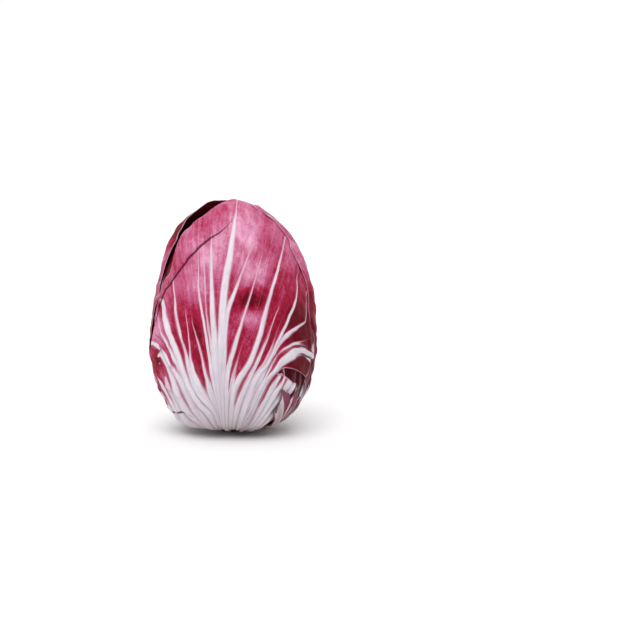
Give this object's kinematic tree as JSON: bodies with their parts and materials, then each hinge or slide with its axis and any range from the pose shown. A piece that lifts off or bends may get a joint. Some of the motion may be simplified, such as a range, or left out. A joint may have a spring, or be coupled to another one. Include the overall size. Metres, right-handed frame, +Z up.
{
  "type": "radicchio head",
  "caption": "Oval head of radicchio standing on its cut stem: white ribs fan out from the stem into crimson leaves wrapped round a dense heart.",
  "frame": {"origin": "centre of the cut stem's flat face, on the surface that the head stands on", "axes": "+Z up the head from stem to crown, -Y towards the widest wrapper leaf, +X to that leaf's right as seen from in front of it"},
  "size_m": [0.1, 0.1002, 0.1412],
  "materials": {
    "stem": "cut stem, cream to light brown, matte",
    "heart_leaf": "tightly folded leaf edges, rose and white, satin",
    "wrapper_leaf": "waxy leaf, crimson to maroon with white ribs, satin",
    "torn_leaf": "torn leaf base, off-white to dull pink, browned at the tear, matte"
  },
  "bodies": {
    "root": {"stem": "stem", "heart_leaves": "heart_leaf", "leaf_crown": "wrapper_leaf", "leaf_inner_back": "wrapper_leaf", "leaf_inner_left": "wrapper_leaf", "leaf_inner_right": "wrapper_leaf", "leaf_front": "wrapper_leaf", "leaf_outer_right": "wrapper_leaf", "leaf_outer_left": "wrapper_leaf", "torn_leaf_base": "torn_leaf"}
  },
  "joints": []
}
